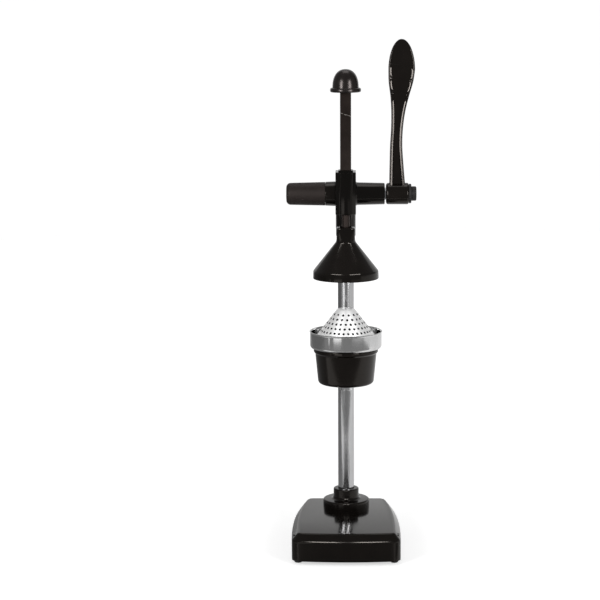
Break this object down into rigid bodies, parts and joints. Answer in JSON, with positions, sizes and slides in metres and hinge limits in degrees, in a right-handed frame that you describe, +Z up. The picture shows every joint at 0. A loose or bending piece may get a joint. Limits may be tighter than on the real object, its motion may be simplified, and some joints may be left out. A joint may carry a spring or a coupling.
{
  "type": "lever citrus juice press",
  "caption": "Upright citrus press: a side lever turns a pinion that drives a rack and bell down on a perforated cone strainer above a bowl with a spout, on a chromed column and a heavy base.",
  "frame": {"origin": "on the worktop plane under the feet, centred on the bounding box in X and Y", "axes": "+Z up along the column, -Y towards the user, +X towards the lever"},
  "size_m": [0.1494, 0.1746, 0.5924],
  "materials": {
    "enamel": "glossy black enamel on cast aluminium",
    "cap_plastic": "moulded grey, lightly mottled",
    "grip_plastic": "matt dark grey",
    "knob_plastic": "glossy black",
    "rack_steel": "dark blackened steel, worn",
    "chrome": "bright plating",
    "stainless": "polished",
    "zinc_steel": "zinc plated",
    "bronze": "sintered bearing bronze",
    "rubber": "matt"
  },
  "bodies": {
    "stand": {"base": "enamel", "foot_front_left": "rubber", "foot_front_right": "rubber", "foot_back_left": "rubber", "foot_back_right": "rubber", "base_bolt": "zinc_steel", "base_washer": "zinc_steel", "column_plug": "zinc_steel", "column": "chrome", "base_set_screw": "zinc_steel", "holder": "enamel", "holder_bolt": "zinc_steel", "holder_nut": "zinc_steel", "juice_bowl": "stainless", "strainer": "stainless", "head_housing": "enamel", "head_set_screw_lower": "zinc_steel", "head_set_screw_upper": "zinc_steel", "collar": "enamel", "collar_bush": "bronze", "tube_bush": "bronze", "grip": "grip_plastic", "grip_rod": "zinc_steel"},
    "ram": {"rack": "rack_steel", "knob": "knob_plastic", "knob_stud": "zinc_steel", "bell": "enamel", "bell_screw": "zinc_steel", "bell_washer": "zinc_steel"},
    "lever_assembly": {"pinion_shaft": "zinc_steel", "lever": "enamel", "lever_washer": "zinc_steel", "lever_nut": "zinc_steel", "end_cap": "cap_plastic"}
  },
  "joints": [
    {"name": "lever_turn", "type": "hinge", "parent": "stand", "child": "lever_assembly", "pos_m": [0.0531, 0.0087, 0.416], "axis": [1, 0, 0], "range_deg": [0, 315]},
    {"name": "ram_slide", "type": "slide", "parent": "stand", "child": "ram", "axis": [0, 0, -1], "range_m": [0, 0.066]}
  ],
  "couplings": [
    {"joint": "ram_slide", "follows": "lever_turn", "m_per_rad": 0.012}
  ]
}
